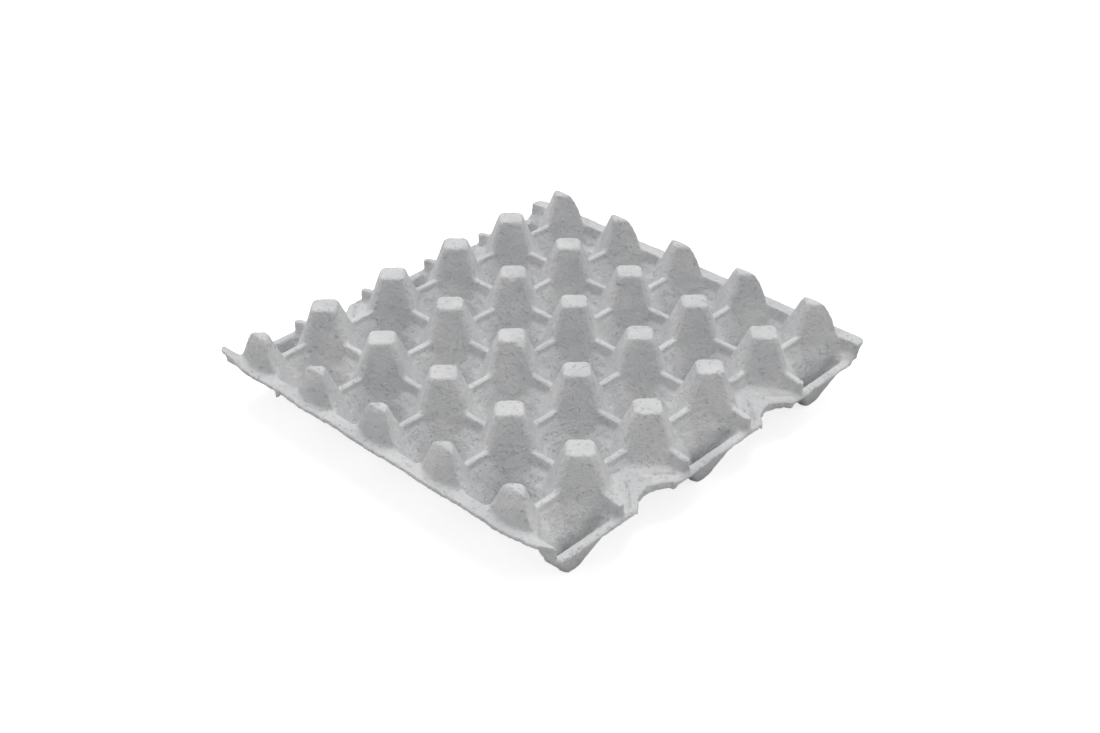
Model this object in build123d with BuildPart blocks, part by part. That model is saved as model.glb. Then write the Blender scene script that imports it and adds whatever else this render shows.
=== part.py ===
"""Moulded pulp egg tray, 4 x 5 cells, made as one solid.

A pulp tray is the skin between two moulds.  So the model builds the form that fills
everything under the tray's upper face, builds it again with every face moved in by the
pulp's thickness, and keeps what lies between the two.

Frame: +Z up, origin on the table under the middle of the tray.  X runs across the four
columns of cells, Y along the five rows.  Millimetres.
"""
import os
from math import cos, radians, tan

from build123d import *

# ---- overall layout -------------------------------------------------------------------
columns = 4                 # whole cells along X
rows = 5                    # whole cells along Y
pitch_x = 54.0              # peak to peak along X
pitch_y = 55.0              # peak to peak along Y
height = 56.0               # table to the top of a peak
pulp = 2.5                  # thickness of the pulp skin
rim_reach = 33.5            # outermost peak column to the cut edge, along X
flange_inset = 0.8          # line of the half peaks to the inner edge of the flange
flange_width = 9.0          # width of the flat flange along the half peaks

# ---- levels, measured down from the tops of the peaks ----------------------------------
flange_drop = 18.9          # flanges along the half peaks
ridge_drop = 19.6           # ridges that join the peaks
skirt_drop = 23.0           # where the faces of a peak flare out into the cells
cross_drop = 24.1           # ledge below each ridge along Y
lane_drop = 27.2            # ledge below each ridge along X, and below the flanges
rim_drop = 29.9             # rims, and the outer edge of the finger shelves
bowl_drop = 32.0            # top of the round lower part of each cell

# ---- peaks -----------------------------------------------------------------------------
peak_half = 11.0            # half diagonal of the square top, corners pointing along X and Y
peak_flat = 9.3             # the corners of that square are cut off at this distance
peak_round = 1.5            # softened edge round the top
wide_slope = 19.5           # degrees from upright, faces that look into the cells
narrow_slope = 25.6         # degrees from upright, faces that run down into the ridges
skirt_slope = 25.8          # degrees from upright, the flare below the ridges

# ---- ridges and the walls below them -----------------------------------------------------
ridge_half = 2.1            # half width of a ridge at its top
ridge_foot = 3.0            # half width of a ridge at the level of the rims
ridge_round = 0.9           # rounding along its back
nose_gap = 2.0              # from the end of a ridge along X to the cut edge of the rim
nose_run = 13.0             # the back of such a ridge slopes down over this length
nose_drop = 2.2             # and by this much
cross_step = 0.8            # width of the ledge each side of a ridge along Y
lane_step = 2.2             # the same along X
rim_step = 1.2              # the same beside the edge pockets
wall_slope = 32.5           # degrees from upright, cell walls below the ledges

# ---- round lower parts ---------------------------------------------------------------------
cell_slope = 31.0           # degrees from upright, in a whole cell
cell_foot = 5.4             # plan radius at which that slope would meet the floor
cell_round = 8.5            # inside radius round the floor
pocket_centre = 18.0        # outermost peak column to the middle of an edge pocket
pocket_slope = 42.0         # the same three sizes in an edge pocket
pocket_foot = 4.2
pocket_round = 6.0
pocket_inner = 3.5          # middle of a pocket's floor to the foot of its inner wall
block_gap = 1.0             # between the blocks that hold two cups

# ---- rims, half peaks and finger notches --------------------------------------------------
rim_width = 6.0             # flat rim beside the edge pockets
rim_slope = 18.0            # degrees from upright, outer wall of an edge pocket
shelf_rise = 3.2            # finger shelves climb by this much towards the peaks
half_peak_reach = 3.0       # foot of a half peak's outer face, past the line of the peaks
barrel_foot = 40.0          # plan radius of that face at its foot
barrel_tip = 34.0           # the same at the tip
barrel_bulge = 1.2          # how far it bulges between foot and tip
corner_round = 5.0          # corners of the outline
notch_width = 31.0          # thumb notch, across its mouth
notch_depth = 8.5
notch_shoulder = 6.0        # rounding beside the mouth

# ---- worked out from the sizes above -------------------------------------------------------
peak_x = columns * pitch_x / 2              # outermost column of peaks
pocket_x = peak_x + pocket_centre           # middle of the edge pockets
half_peak_y = rows * pitch_y / 2            # line of the half peaks
edge_x = peak_x + rim_reach                 # cut edges
flange_y = half_peak_y - flange_inset       # inner edge of the flange
edge_y = flange_y + flange_width
flange_z = height - flange_drop
ridge_z = height - ridge_drop
skirt_z = height - skirt_drop
cross_z = height - cross_drop
lane_z = height - lane_drop
rim_z = height - rim_drop
bowl_z = height - bowl_drop
base_z = -5.0                               # the forms start below the table
beyond = 30.0                               # and run past the cut edges by this much


def side_view(points, shrink):
    """Closed outline through `points`, with every side moved in by `shrink`."""
    with BuildSketch() as sketch:
        with BuildLine():
            Polyline(*points, close=True)
        make_face()
        if shrink:
            offset(amount=-shrink, kind=Kind.INTERSECTION)
    return sketch.sketch


def pyramid(half, slope, foot_z, top_z, angle, shrink):
    """Four-sided pyramid, `half` wide to each side at `top_z`, its faces moved in by `shrink`."""
    foot = half + (top_z - foot_z) * tan(radians(slope)) - shrink / cos(radians(slope))
    base = Plane.XY.offset(foot_z) * Rectangle(2 * foot, 2 * foot, rotation=angle)
    return extrude(base, amount=top_z - shrink - foot_z, taper=slope)


def peak_form(shrink):
    """Octagonal peak on its own axis, flared below the ridges."""
    wide = peak_half / 2**0.5
    skirt = wide + skirt_drop * tan(radians(wide_slope))
    skirt -= (ridge_z - skirt_z) * tan(radians(skirt_slope))
    peak = pyramid(wide, wide_slope, base_z, height, 45, shrink)
    peak &= pyramid(peak_flat, narrow_slope, base_z, height, 0, shrink)
    if shrink < peak_round:
        peak = fillet(peak.faces().sort_by(Axis.Z)[-1].edges(), peak_round - shrink)
    return peak + pyramid(skirt, skirt_slope, bowl_z - shrink, ridge_z, 45, shrink)


def half_peak_form(shrink, peak):
    """A peak whose +Y side is cut, above the flange, to a broad curved outer face."""
    axis_y = half_peak_reach - barrel_foot
    foot_z = flange_z - shrink
    top_z = height - shrink
    foot = barrel_foot - shrink
    tip = barrel_tip - shrink
    with BuildPart() as form:
        with BuildSketch(Plane.XY.offset(base_z)):
            Rectangle(2 * pitch_x, 2 * pitch_y)
        extrude(amount=foot_z - base_z)
        with BuildSketch(Plane.XZ.offset(-axis_y)):
            with BuildLine():
                Polyline((tip, top_z), (0, top_z), (0, foot_z), (foot, foot_z))
                ThreePointArc(
                    (foot, foot_z),
                    ((foot + tip) / 2 + barrel_bulge, (foot_z + top_z) / 2),
                    (tip, top_z),
                )
            make_face()
        revolve(axis=Axis((0, axis_y, 0), (0, 0, 1)))
        add(peak, mode=Mode.INTERSECT)
    return form.part


def wall_form(length, ledge_z, ledge_half, outer_foot, shrink):
    """Wall under a ridge that runs along X, with a ledge each side of the ridge.

    Each side slopes down to the round lower parts of the cells.  If `outer_foot` is given,
    the far side instead slopes all the way down to that distance at the floor.
    """
    foot = ledge_half + (ledge_z - bowl_z) * tan(radians(wall_slope))
    near_side = [(-ledge_half, ledge_z), (-foot, bowl_z), (-foot, base_z)]
    far_side = [(foot, base_z), (foot, bowl_z), (ledge_half, ledge_z)]
    if outer_foot:
        run = (outer_foot - ledge_half) / (ledge_z - pulp)
        far_side = [(outer_foot + (pulp - base_z) * run, base_z), (ledge_half, ledge_z)]
    outline = side_view(near_side + far_side, shrink)
    return extrude(Plane.YZ * outline, amount=length / 2, both=True)


def ridge_form(length, end_drop):
    """Solid rib along X with a softened back and round ends, which may slope down."""
    level = length / 2 - nose_run
    with BuildPart() as form:
        with BuildSketch(Plane.YZ):
            with BuildLine():
                Polyline(
                    (-ridge_foot, rim_z - pulp),
                    (ridge_foot, rim_z - pulp),
                    (ridge_foot, rim_z),
                    (ridge_half, ridge_z),
                    (-ridge_half, ridge_z),
                    (-ridge_foot, rim_z),
                    close=True,
                )
            make_face()
        extrude(amount=length / 2, both=True)
        if end_drop:
            with BuildSketch(Plane.XZ):
                with BuildLine():
                    Polyline(
                        (-length / 2, 0),
                        (length / 2, 0),
                        (length / 2, ridge_z - end_drop),
                        (level, ridge_z),
                        (-level, ridge_z),
                        (-length / 2, ridge_z - end_drop),
                        close=True,
                    )
                make_face()
            extrude(amount=ridge_foot, both=True, mode=Mode.INTERSECT)
        backs = form.faces().filter_by(lambda face: face.normal_at().Z > 0.9)
        fillet([edge for edge in backs.edges() if abs((edge % 0.5).X) > 0.9], ridge_round)
        with BuildSketch():
            SlotOverall(length, 2 * ridge_foot)
        extrude(amount=height, mode=Mode.INTERSECT)
    return form.part


def flange_form(shrink):
    """Flange on the +Y side with the wall below it, out past the cut edges."""
    far = edge_y + beyond
    neck_y = flange_y - (ridge_foot - ridge_half)
    ledge_y = neck_y - lane_step
    foot_y = ledge_y - (lane_z - bowl_z) * tan(radians(wall_slope))
    outline = side_view(
        [
            (foot_y, bowl_z),
            (foot_y, base_z),
            (far, base_z),
            (far, flange_z),
            (flange_y, flange_z),
            (neck_y, lane_z),
            (ledge_y, lane_z),
        ],
        shrink,
    )
    return extrude(Plane.YZ * outline, amount=edge_x + beyond, both=True)


def rim_form(shrink):
    """Rim on the +X side with the outer wall of the pockets, out past the cut edge."""
    inner_x = edge_x - rim_width
    foot_x = inner_x - (rim_z - base_z) * tan(radians(rim_slope))
    far = edge_x + beyond
    outline = side_view([(foot_x, base_z), (far, base_z), (far, rim_z), (inner_x, rim_z)], shrink)
    return extrude(Plane.XZ * outline, amount=edge_y + beyond, both=True)


def shelf_form(shrink):
    """Finger shelf that fills one bay on the +X side, out past the cut edge."""
    far = edge_x + beyond
    outline = side_view(
        [
            (peak_x, base_z),
            (far, base_z),
            (far, rim_z),
            (edge_x, rim_z),
            (peak_x, rim_z + shelf_rise),
        ],
        shrink,
    )
    return extrude(Plane.XZ * outline, amount=pitch_y / 2, both=True)


def cup_form(slope, foot, floor_round, shrink):
    """Round bowl sunk in a block, which rounds off the lower part of one cell."""
    run = tan(radians(slope))
    floor_z = pulp - shrink
    foot += shrink / cos(radians(slope)) - shrink * run
    top_z = bowl_z - shrink
    mouth_z = top_z + block_gap
    with BuildPart() as form:
        with BuildSketch(Plane.XY.offset(base_z)):
            Rectangle(pitch_x - block_gap, pitch_y - block_gap)
        extrude(amount=top_z - base_z)
        with BuildSketch(Plane.XZ):
            with BuildLine():
                Polyline(
                    (0, floor_z),
                    (foot, floor_z),
                    (foot + (mouth_z - floor_z) * run, mouth_z),
                    (0, mouth_z),
                    close=True,
                )
            bowl = make_face()
            corner = bowl.vertices().group_by(Axis.Y)[0].sort_by(Axis.X)[-1]
            fillet(corner, floor_round + shrink)
        revolve(axis=Axis.Z, mode=Mode.SUBTRACT)
    return form.part


def under_form(shrink):
    """Everything under the tray's upper face, with each face moved in by `shrink`."""
    peak = peak_form(shrink)
    half_peak = half_peak_form(shrink, peak)
    lane = wall_form(2 * peak_x, lane_z, ridge_foot + lane_step, 0, shrink)
    rim_lane = wall_form(2 * edge_x, rim_z, ridge_foot + rim_step, 0, shrink)
    cross = wall_form(2 * half_peak_y, cross_z, ridge_foot + cross_step, 0, shrink)
    last_cross = wall_form(
        2 * half_peak_y, cross_z, ridge_foot + cross_step, pocket_centre - pocket_inner, shrink
    )
    flange = flange_form(shrink)
    rim = rim_form(shrink)
    shelf = shelf_form(shrink)
    cup = cup_form(cell_slope, cell_foot, cell_round, shrink)
    pocket = cup_form(pocket_slope, pocket_foot, pocket_round, shrink)
    with BuildPart() as form:
        with BuildSketch(Plane.XY.offset(base_z)):
            Rectangle(2 * (edge_x + beyond), 2 * (edge_y + beyond))
        extrude(amount=pulp - shrink - base_z)
        with GridLocations(0, pitch_y, 1, rows - 1):
            add(lane)
            add(rim_lane)
        with GridLocations(pitch_x, 0, columns - 1, 1):
            add(cross, rotation=(0, 0, 90))
        with GridLocations(pitch_x, pitch_y, columns + 1, rows - 1):
            add(peak)
        for turn in (0, 180):
            with Locations(Location((0, 0, 0), (0, 0, turn))):
                add(flange)
                add(rim)
                with Locations((peak_x, 0)):
                    add(last_cross, rotation=(0, 0, -90))
                with GridLocations(0, 2 * pitch_y, 1, rows // 2):
                    add(shelf)
                with Locations((0, half_peak_y)):
                    with GridLocations(pitch_x, 0, columns + 1, 1):
                        add(half_peak)
                with Locations((pocket_x, 0)):
                    with GridLocations(0, 2 * pitch_y, 1, rows // 2 + 1):
                        add(pocket)
        with GridLocations(pitch_x, pitch_y, columns, rows):
            add(cup)
    return form.part


def footprint():
    """Outline of the whole tray seen from above, with its four thumb notches."""
    radius = (notch_width**2 / 4 + notch_depth**2) / (2 * notch_depth)
    notch_x = edge_x - notch_depth + radius
    with BuildSketch() as outline:
        RectangleRounded(2 * edge_x, 2 * edge_y, corner_round)
        for side in (1, -1):
            with Locations((side * notch_x, 0)):
                with GridLocations(0, 2 * pitch_y, 1, rows // 2):
                    Circle(radius, mode=Mode.SUBTRACT)
        notch_corners = outline.vertices().filter_by_position(Axis.Y, -1.5 * pitch_y, 1.5 * pitch_y)
        fillet(notch_corners, notch_shoulder)
    return outline.sketch


outline = footprint()
ridge_x = ridge_form(2 * (edge_x - nose_gap), nose_drop)
ridge_y = ridge_form(2 * half_peak_y, 0)
upper = under_form(0)
lower = under_form(pulp)

with BuildPart() as egg_tray:
    add(upper)
    with GridLocations(0, pitch_y, 1, rows - 1):
        add(ridge_x)
    with GridLocations(pitch_x, 0, columns + 1, 1):
        add(ridge_y, rotation=(0, 0, 90))
    add(lower, mode=Mode.SUBTRACT)
    extrude(outline, amount=height, mode=Mode.INTERSECT)

egg_tray.part.label = "egg_tray"
os.makedirs("parts", exist_ok=True)
export_step(egg_tray.part, "parts/egg_tray.step")
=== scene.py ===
"""Looks of a moulded pulp egg tray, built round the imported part. Metres, +Z up."""
import math
from math import cos, pi, radians, sin

import bmesh
import bpy
from mathutils import Matrix, Vector, noise


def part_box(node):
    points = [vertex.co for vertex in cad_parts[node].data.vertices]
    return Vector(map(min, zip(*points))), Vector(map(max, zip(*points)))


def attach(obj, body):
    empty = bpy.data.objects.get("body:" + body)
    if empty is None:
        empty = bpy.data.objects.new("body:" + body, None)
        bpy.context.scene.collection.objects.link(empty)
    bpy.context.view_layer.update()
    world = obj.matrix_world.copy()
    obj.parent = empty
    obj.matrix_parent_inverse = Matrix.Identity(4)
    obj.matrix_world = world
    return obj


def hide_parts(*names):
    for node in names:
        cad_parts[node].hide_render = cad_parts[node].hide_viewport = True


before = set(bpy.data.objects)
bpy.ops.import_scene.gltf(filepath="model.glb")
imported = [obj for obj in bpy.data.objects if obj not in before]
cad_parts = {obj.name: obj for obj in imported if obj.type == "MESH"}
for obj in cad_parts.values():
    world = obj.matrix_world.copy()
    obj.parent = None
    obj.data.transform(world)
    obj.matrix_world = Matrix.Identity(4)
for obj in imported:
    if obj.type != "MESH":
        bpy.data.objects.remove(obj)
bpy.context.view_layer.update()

MM = 0.001
LOW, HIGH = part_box("egg_tray")
PITCH_X, PITCH_Y = 54 * MM, 55 * MM         # peak to peak
FLANGE_Z = HIGH.z - 18.9 * MM               # flanges along the half peaks

VOXEL = 0.85 * MM
TRIANGLES = 192000

NOTCH_Y = PITCH_Y                           # middle of each thumb notch
NOTCH_RADIUS = 18.4 * MM
NOTCH_X = HIGH.x - 8.5 * MM + NOTCH_RADIUS  # centre of its arc

PEAK_X = 2 * PITCH_X                        # outermost peaks
POCKET_X = PEAK_X + 18 * MM                 # middle of the edge pockets
HALF_PEAK_Y = 2.5 * PITCH_Y
CELL_TOP = 30 * MM                          # the cells are smooth below this

# Creases on the finger shelf at -Y of the +X side: start, end, depth.
SHELF_SCORES = (
    ((124, -62), (135, -72), 1.5),
    ((121, -60), (124, -62), 1.1),
    ((135, -72), (138, -77), 1.1),
    ((127, -44), (135, -34), 1.8),
    ((118, -52), (130, -49), -0.8),
)

SHELF_STEP = 2 * PITCH_Y                    # one finger shelf, or one pocket, to the next
SHELF_LOW, SHELF_HIGH = 22 * MM, 31 * MM    # levels that hold the faces of the shelves
SCORE_WIDTH = 1.3 * MM

# Wear and drying of the whole tray.
EDGE_BAND = 3 * MM                          # ragged part of a cut edge
LIP_DROP = 2.4 * MM                         # lip that hangs from a notch
TOP_RISE = 0.8 * MM                         # peak tops
SLOW_WARP = 0.5 * MM
CURL_NEAR, CURL_FAR = 4.0 * MM, 5.0 * MM    # ends of the -Y flange, at +X and at -X
FLANGE_WAVE = 0.5 * MM
FAR_RIM_SAG = 1.6 * MM                      # rim on the -X side
FAR_CORNER_SHORT = 3.5 * MM                 # -X end of the -Y flange
POCKET_LEAN = 4.5 * MM                      # inner walls of the edge pockets

# How far each row of peaks stands from its place in the mould, and where that shift fades out.
ROW_SHIFT = ((-146, 0.0), (-82.5, -0.6), (-27.5, 0.5), (27.5, 1.7), (82.5, -1.1), (146, 0.4))


# ---- mesh --------------------------------------------------------------------------

def link(name, mesh):
    """A new object at the origin that holds `mesh`."""
    piece = bpy.data.objects.new(name, mesh)
    bpy.context.scene.collection.objects.link(piece)
    return piece


def bake_modifier(piece, kind, **settings):
    """Adds one modifier, applies it and leaves the result in the piece's mesh."""
    modifier = piece.modifiers.new(kind.title(), kind)
    for key, value in settings.items():
        setattr(modifier, key, value)
    graph = bpy.context.evaluated_depsgraph_get()
    mesh = bpy.data.meshes.new_from_object(piece.evaluated_get(graph))
    piece.modifiers.clear()
    old = piece.data
    piece.data = mesh
    bpy.data.meshes.remove(old)


def even_skin(node, name):
    """The node's loose triangles as one closed skin of small, even faces."""
    bm = bmesh.new()
    bm.from_mesh(node.data)
    bmesh.ops.remove_doubles(bm, verts=bm.verts, dist=0.01 * MM)
    mesh = bpy.data.meshes.new(name)
    bm.to_mesh(mesh)
    bm.free()
    piece = link(name, mesh)
    bake_modifier(piece, "REMESH", mode="VOXEL", voxel_size=VOXEL)
    return piece


def soften(bm, verts, times):
    """Rounds the skin a little, as wet pulp does when it dries."""
    for _ in range(times):
        bmesh.ops.smooth_vert(
            bm, verts=verts, factor=0.5,
            use_axis_x=True, use_axis_y=True, use_axis_z=True,
        )


def ripple(point, size, seed):
    """Smooth noise from about -1 to 1, whose bumps are `size` apart."""
    return noise.noise(point / size + Vector((seed, 2.3 * seed, -1.7 * seed)))


def smooth_step(value, low, high):
    """0 below `low`, 1 above `high`, smooth between."""
    share = min(1.0, max(0.0, (value - low) / (high - low)))
    return share * share * (3 - 2 * share)


def notch_gap(point):
    """Distance from the nearest thumb notch's cut edge."""
    away_y = abs(abs(point.y) - NOTCH_Y)
    away_x = abs(point.x) - NOTCH_X
    return (away_x * away_x + away_y * away_y) ** 0.5 - NOTCH_RADIUS


def edge_nearness(point):
    """1 on the cut edge of the rims and flanges, 0 a few millimetres inside it."""
    inside = min(HIGH.x - abs(point.x), HIGH.y - abs(point.y), notch_gap(point))
    return min(1.0, max(0.0, 1 - inside / EDGE_BAND))


def row_shift(y):
    """Shift of the skin along Y, eased from one row of peaks to the next."""
    for (from_y, from_shift), (to_y, to_shift) in zip(ROW_SHIFT, ROW_SHIFT[1:]):
        if y < to_y * MM:
            break
    return (from_shift + (to_shift - from_shift) * smooth_step(y, from_y * MM, to_y * MM)) * MM


def weather(bm):
    """Uneven drying: pulp lumps, a coarser underside, crumbly tops and ragged cut edges."""
    bm.normal_update()
    for vert in bm.verts:
        point, normal = vert.co.copy(), vert.normal.copy()
        lumps = 0.15 * ripple(point, 9 * MM, 1) + 0.09 * ripple(point, 3.5 * MM, 2)
        if normal.z < 0:
            lumps *= 1.8
        lumps += 0.22 * smooth_step(point.z, 53.5 * MM, 55.5 * MM) * ripple(point, 2.4 * MM, 8)
        move = normal * lumps * MM
        near = edge_nearness(point)
        if near > 0:
            outward = Vector((normal.x, normal.y, 0))
            ragged = 0.6 * ripple(point, 5 * MM, 4) + 0.5 * ripple(point, 1.8 * MM, 5)
            move += outward * near * ragged * MM
            move.z -= near * max(0.0, -normal.z) * abs(ripple(point, 2.6 * MM, 6)) * 1.2 * MM
        vert.co = point + move


def turn_down_notches(bm):
    """The lower edge of each thumb notch hangs down in a short lip."""
    for vert in bm.verts:
        lip = 1 - smooth_step(notch_gap(vert.co), 0.8 * MM, 2.4 * MM)
        if lip > 0 and vert.normal.z < 0.3:
            vert.co.z -= lip * (LIP_DROP + 0.7 * MM * ripple(vert.co, 4 * MM, 9))


def warp(bm):
    """The whole tray as it dried: rows of peaks out of line, rims and corners off level."""
    for vert in bm.verts:
        x, y, z = vert.co
        top = smooth_step(z, 36 * MM, 56 * MM)
        flange = smooth_step(-y, 134 * MM, 146 * MM)
        corner = smooth_step(abs(x), 104 * MM, 141 * MM)
        rise = TOP_RISE * top + SLOW_WARP * ripple(vert.co, 90 * MM, 3)
        rise += flange * corner * (CURL_NEAR if x > 0 else CURL_FAR)
        rise += flange * (1 - corner) * FLANGE_WAVE * cos(2 * pi * (x / PITCH_X + 0.5))
        rise += flange * FLANGE_WAVE * ripple(vert.co, 22 * MM, 10)
        rise -= FAR_RIM_SAG * smooth_step(-x, 116 * MM, 141 * MM) * (1 - flange)
        vert.co.x = x + FAR_CORNER_SHORT * smooth_step(-x, 118 * MM, 141 * MM) * flange
        vert.co.y = y + row_shift(y)
        vert.co.z = z + rise * smooth_step(z, 0, 24 * MM)


def round_corner(bm, x_sign, radius):
    """Rounds one corner of the outline on the -Y side further, without folding the skin."""
    centre = Vector((x_sign * (HIGH.x - radius), -(HIGH.y - radius)))
    for vert in bm.verts:
        along, beside = x_sign * (vert.co.x - centre.x), centre.y - vert.co.y
        if along > 0 and beside > 0:
            reach = (along * along + beside * beside) ** 0.5
            outline = radius * reach / max(along, beside)
            pull = (outline - radius) * min(1.0, reach / outline) ** 4 / reach
            vert.co.x -= x_sign * along * pull
            vert.co.y += beside * pull


def flare_pockets(bm):
    """The inner walls of the edge pockets lean out further below the ridges."""
    for vert in bm.verts:
        x, y, z = vert.co
        row = round(y / SHELF_STEP) * SHELF_STEP
        away = Vector((math.copysign(POCKET_X, x) - x, row - y))
        if 0 < away.x * math.copysign(1, x) and abs(x) > PEAK_X and away.length > 1 * MM:
            deep = smooth_step(31 * MM - z, 0, 15 * MM) * smooth_step(z, 1 * MM, 11 * MM)
            side = smooth_step(away.length, 3 * MM, 9 * MM) * smooth_step(abs(x), PEAK_X, PEAK_X + 5 * MM)
            side *= 1 - smooth_step(abs(row - y), 15 * MM, 23 * MM)
            vert.co.xy += away.normalized() * POCKET_LEAN * deep * side


def taper_half_peaks(bm):
    """The half peaks narrow evenly from foot to tip."""
    for vert in bm.verts:
        x, y, z = vert.co
        if abs(y) > HALF_PEAK_Y - 8 * MM and z > FLANGE_Z:
            middle = round(x / PITCH_X) * PITCH_X
            waist = sin(pi * min(1, (z - FLANGE_Z) / (HIGH.z - FLANGE_Z)))
            outer = smooth_step(abs(y), HALF_PEAK_Y - 8 * MM, HALF_PEAK_Y - 2 * MM)
            narrowing = (0.05 + 0.13 * waist) * outer * (1.0 if y < 0 else 0.2)
            vert.co.x = middle + (x - middle) * (1 - narrowing)


def score(bm, ends, depth):
    """A soft crease in the upper face of a finger shelf between two points."""
    along = ends[1] - ends[0]
    for vert in bm.verts:
        if not SHELF_LOW < vert.co.z < SHELF_HIGH or vert.normal.z < 0.6:
            continue
        share = (vert.co.xy - ends[0]).dot(along) / along.length_squared
        gap = (vert.co.xy - ends[0] - along * min(1, max(0, share))).length
        vert.co.z -= depth * (1 - smooth_step(gap, 0.2 * MM, SCORE_WIDTH))


def score_shelves(bm):
    """The same creases on all four finger shelves."""
    for side in (1, -1):
        for start, end, depth in SHELF_SCORES:
            turned = [Vector((side * x, side * y)) * MM for x, y in (start, end)]
            score(bm, turned, depth * MM)
            score(bm, [point + Vector((0, side * SHELF_STEP)) for point in turned], depth * MM)


def push(bm, centre, radius, move):
    """Moves the skin near a point by up to `move`, unevenly."""
    for vert in bm.verts:
        away = (vert.co - centre).length / radius
        if away < 1:
            share = (1 - away * away) ** 2
            vert.co += move * share * (1 + 0.5 * ripple(vert.co, 1.6 * MM, 7))


def damage(bm):
    """Two dented peaks, a burr under the front flange, and a chip in the near rim."""
    crushed_peak = Vector((-PITCH_X, 0.5 * PITCH_Y, HIGH.z))
    chipped_peak = Vector((0, -0.5 * PITCH_Y, HIGH.z))
    front_edge, below_it = Vector((5, -6, 0)) * MM, Vector((7.5, -8.5, -4)) * MM
    side_corner = Vector((9, -1, 0)) * MM
    burr = Vector((-78, -145.7, 34.9)) * MM
    chip, curl = Vector((141, -118, 26.8)) * MM, Vector((139, -121, 26.4)) * MM
    push(bm, crushed_peak + front_edge, 4.5 * MM, Vector((0, 0, -1.8)) * MM)
    push(bm, crushed_peak + below_it, 3 * MM, Vector((-1.1, 1.1, -0.4)) * MM)
    push(bm, chipped_peak + side_corner, 4.5 * MM, Vector((0, 0, -2.0)) * MM)
    push(bm, burr, 2.6 * MM, Vector((0, -0.6, -3.4)) * MM)
    push(bm, chip, 2.4 * MM, Vector((-1.4, 0, -2.2)) * MM)
    push(bm, curl, 2.6 * MM, Vector((0, 0, 0.9)) * MM)


def keep_above_table(bm):
    """Nothing dips below the table."""
    for vert in bm.verts:
        vert.co.z = max(vert.co.z, LOW.z)


def make_tray():
    piece = even_skin(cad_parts["egg_tray"], "tray_skin")
    bm = bmesh.new()
    bm.from_mesh(piece.data)
    soften(bm, bm.verts, 1)
    flare_pockets(bm)
    taper_half_peaks(bm)
    soften(bm, [vert for vert in bm.verts if 4 * MM < vert.co.z < CELL_TOP], 9)
    weather(bm)
    score_shelves(bm)
    turn_down_notches(bm)
    round_corner(bm, 1, 11 * MM)
    round_corner(bm, -1, 9 * MM)
    damage(bm)
    warp(bm)
    keep_above_table(bm)
    bm.to_mesh(piece.data)
    bm.free()
    faces = sum(len(polygon.vertices) - 2 for polygon in piece.data.polygons)
    bake_modifier(piece, "DECIMATE", ratio=min(1.0, TRIANGLES / faces))
    piece.data.shade_smooth()
    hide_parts("egg_tray")
    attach(piece, "root")
    return piece


# ---- material ------------------------------------------------------------------------

def new_group(name, inputs, outputs):
    """An empty shader node group with float inputs and named outputs."""
    group = bpy.data.node_groups.new(name, "ShaderNodeTree")
    for label, kind, value in inputs:
        socket = group.interface.new_socket(label, in_out="INPUT", socket_type=kind)
        if value is not None:
            socket.default_value = value
    for label, kind in outputs:
        group.interface.new_socket(label, in_out="OUTPUT", socket_type=kind)
    return group, group.nodes.new("NodeGroupInput"), group.nodes.new("NodeGroupOutput")


def place(tree, kind, values=None, **settings):
    """Adds a node, sets its properties and its inputs, by name or by number."""
    node = tree.nodes.new(kind)
    for key, value in settings.items():
        setattr(node, key, value)
    for key, value in (values or {}).items():
        node.inputs[key].default_value = value
    return node


def ramp(tree, source, low, high):
    """Maps `source` to 0 at `low` and 1 at `high`, smoothly."""
    node = place(tree, "ShaderNodeMapRange", {"From Min": low, "From Max": high},
                 interpolation_type="SMOOTHSTEP")
    tree.links.new(source, node.inputs["Value"])
    return node.outputs["Result"]


def blend_number(tree, operation, a, b):
    """One Math node between two sockets or numbers."""
    node = tree.nodes.new("ShaderNodeMath")
    node.operation = operation
    for socket, value in zip(node.inputs, (a, b)):
        if isinstance(value, (int, float)):
            socket.default_value = value
        else:
            tree.links.new(value, socket)
    return node.outputs[0]


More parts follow.
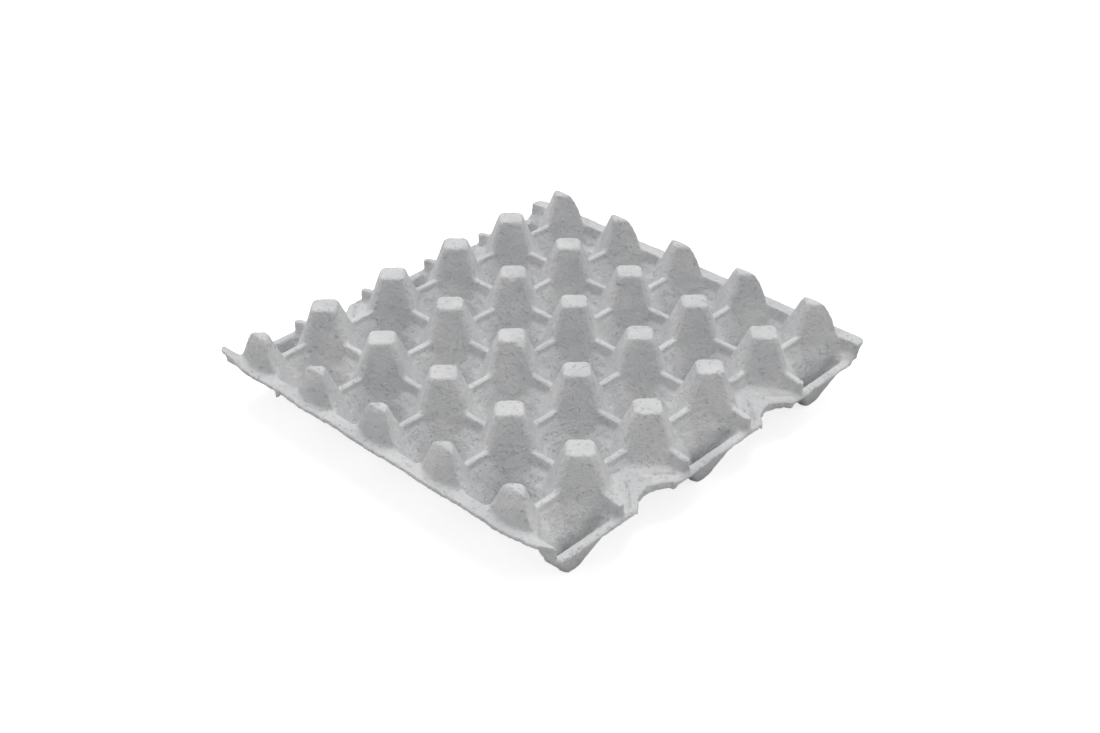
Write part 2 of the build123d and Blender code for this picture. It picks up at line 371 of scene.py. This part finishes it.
def pulp_grain():
    """Group: felted fibres, small pits and dark specks, from Object coordinates."""
    group, taken, given = new_group(
        "pulp_grain",
        [("Coarseness", "NodeSocketFloat", 1.0)],
        [("Height", "NodeSocketFloat"), ("Specks", "NodeSocketFloat"), ("Mottle", "NodeSocketFloat")],
    )
    where = place(group, "ShaderNodeTexCoord").outputs["Object"]

    def cloud(scale, detail, roughness=0.55):
        node = place(group, "ShaderNodeTexNoise",
                     {"Scale": scale, "Detail": detail, "Roughness": roughness})
        group.links.new(where, node.inputs["Vector"])
        return node.outputs["Fac"]

    def stretched(turn, scale):
        """Short fibres that lie along one direction."""
        mapping = place(group, "ShaderNodeMapping", {"Rotation": turn, "Scale": (1, 0.22, 1)})
        group.links.new(where, mapping.inputs["Vector"])
        node = place(group, "ShaderNodeTexNoise", {"Scale": scale, "Detail": 2.0})
        group.links.new(mapping.outputs["Vector"], node.inputs["Vector"])
        return node.outputs["Fac"]

    felt = blend_number(group, "ADD", stretched((0, 0, 0.6), 900), stretched((0, 0, -0.9), 800))
    felt = blend_number(group, "ADD", felt, stretched((0, 0, 2.0), 1000))
    pits = ramp(group, cloud(420, 3), 0.60, 0.72)
    lumps = blend_number(group, "ADD", cloud(170, 2), cloud(360, 3))
    height = blend_number(group, "MULTIPLY", felt, 0.22)
    height = blend_number(group, "ADD", height, blend_number(group, "MULTIPLY", lumps, 0.9))
    height = blend_number(group, "SUBTRACT", height, blend_number(group, "MULTIPLY", pits, 0.5))
    height = blend_number(group, "MULTIPLY", height, taken.outputs["Coarseness"])
    specks = ramp(group, cloud(620, 1), 0.70, 0.80)
    group.links.new(height, given.inputs["Height"])
    group.links.new(specks, given.inputs["Specks"])
    group.links.new(cloud(38, 4), given.inputs["Mottle"])
    return group


def pulp_material():
    material = bpy.data.materials.new("grey_pulp")
    material.use_nodes = True
    tree = material.node_tree
    shader = tree.nodes["Principled BSDF"]
    shader.inputs["Roughness"].default_value = 0.93
    shader.inputs["Specular IOR Level"].default_value = 0.18

    grain = place(tree, "ShaderNodeGroup")
    grain.node_tree = pulp_grain()

    tone = place(tree, "ShaderNodeValToRGB")
    tone.color_ramp.elements[0].position = 0.30
    tone.color_ramp.elements[0].color = (0.560, 0.566, 0.580, 1)
    tone.color_ramp.elements[1].position = 0.72
    tone.color_ramp.elements[1].color = (0.700, 0.700, 0.700, 1)
    tree.links.new(grain.outputs["Mottle"], tone.inputs["Fac"])

    specked = place(tree, "ShaderNodeMix", data_type="RGBA", blend_type="MIX")
    specked.inputs["B"].default_value = (0.34, 0.34, 0.34, 1)
    tree.links.new(blend_number(tree, "MULTIPLY", grain.outputs["Specks"], 0.6), specked.inputs["Factor"])
    tree.links.new(tone.outputs["Color"], specked.inputs["A"])
    tree.links.new(specked.outputs["Result"], shader.inputs["Base Color"])

    bump = place(tree, "ShaderNodeBump", {"Strength": 1.0, "Distance": 1.0 * MM})
    tree.links.new(grain.outputs["Height"], bump.inputs["Height"])
    tree.links.new(bump.outputs["Normal"], shader.inputs["Normal"])
    return material


# ---- floor, light and camera ------------------------------------------------------------

def white_to_the_eye(tree):
    """1 for rays from the camera or seen in a reflection, 0 for the light on things."""
    path = place(tree, "ShaderNodeLightPath")
    seen = blend_number(tree, "MAXIMUM", path.outputs["Is Camera Ray"], path.outputs["Is Glossy Ray"])
    return blend_number(tree, "MAXIMUM", seen, path.outputs["Is Transmission Ray"])


def make_floor():
    bm = bmesh.new()
    bmesh.ops.create_grid(bm, x_segments=1, y_segments=1, size=4.0)
    mesh = bpy.data.meshes.new("floor")
    bm.to_mesh(mesh)
    bm.free()
    floor = link("floor", mesh)
    floor.location.z = LOW.z - 0.2 * MM
    material = bpy.data.materials.new("white_floor")
    material.use_nodes = True
    tree = material.node_tree
    shader = tree.nodes["Principled BSDF"]
    shader.inputs["Base Color"].default_value = (0.55, 0.55, 0.55, 1)
    shader.inputs["Roughness"].default_value = 1.0
    shader.inputs["Specular IOR Level"].default_value = 0.0
    shader.inputs["Emission Color"].default_value = (1, 1, 1, 1)
    glow = blend_number(tree, "MULTIPLY", white_to_the_eye(tree), 0.78)
    tree.links.new(glow, shader.inputs["Emission Strength"])
    floor.data.materials.append(material)


def make_world(strength):
    world = bpy.data.worlds.new("studio")
    bpy.context.scene.world = world
    world.use_nodes = True
    tree = world.node_tree
    background = tree.nodes["Background"]
    background.inputs["Color"].default_value = (1, 1, 1, 1)
    seen = white_to_the_eye(tree)
    level = place(tree, "ShaderNodeMapRange", {"To Min": strength, "To Max": 1.0})
    tree.links.new(seen, level.inputs["Value"])
    tree.links.new(level.outputs["Result"], background.inputs["Strength"])


def soft_sun(name, azimuth, elevation, strength, width):
    """A broad distant lamp. It shines from that azimuth, which counts as the camera's does."""
    lamp = bpy.data.lights.new(name, "SUN")
    lamp.energy = strength
    lamp.angle = radians(width)
    sun = bpy.data.objects.new(name, lamp)
    bpy.context.scene.collection.objects.link(sun)
    a, e = radians(azimuth), radians(elevation)
    source = Vector((sin(a) * cos(e), -cos(a) * cos(e), sin(e)))
    sun.rotation_euler = source.to_track_quat("Z", "Y").to_euler()


def make_camera():
    """Camera on a line through the tray's middle, level with the peak tops, then shifted aside."""
    azimuth, elevation, roll = radians(43.27), radians(33.07), radians(0.44)
    distance, right_by, up_by = 926.2 * MM, 4.7 * MM, -29.3 * MM
    back = Vector((sin(azimuth) * cos(elevation), -cos(azimuth) * cos(elevation), sin(elevation)))
    level = Vector((cos(azimuth), sin(azimuth), 0))
    upright = back.cross(level)
    right = level * cos(roll) + upright * sin(roll)
    up = upright * cos(roll) - level * sin(roll)
    data = bpy.data.cameras.new("camera")
    data.sensor_width = 36
    data.lens = 49.31
    data.clip_start = 0.01
    data.clip_end = 50
    camera = bpy.data.objects.new("camera", data)
    bpy.context.scene.collection.objects.link(camera)
    middle = Vector((0, 0, HIGH.z))
    place_at = middle + back * distance + right * right_by + up * up_by
    turn = Matrix((right, up, back)).transposed()
    camera.matrix_world = Matrix.Translation(place_at) @ turn.to_4x4()
    bpy.context.scene.camera = camera


tray = make_tray()
tray.data.materials.clear()
tray.data.materials.append(pulp_material())
make_floor()
make_world(0.36)
soft_sun("overhead", 223, 70, 0.56 * pi, 45)
soft_sun("right_side", 115, 30, 0.16 * pi, 40)
soft_sun("left_side", -40, 30, 0.17 * pi, 40)
make_camera()
bpy.context.scene.view_settings.view_transform = "Standard"
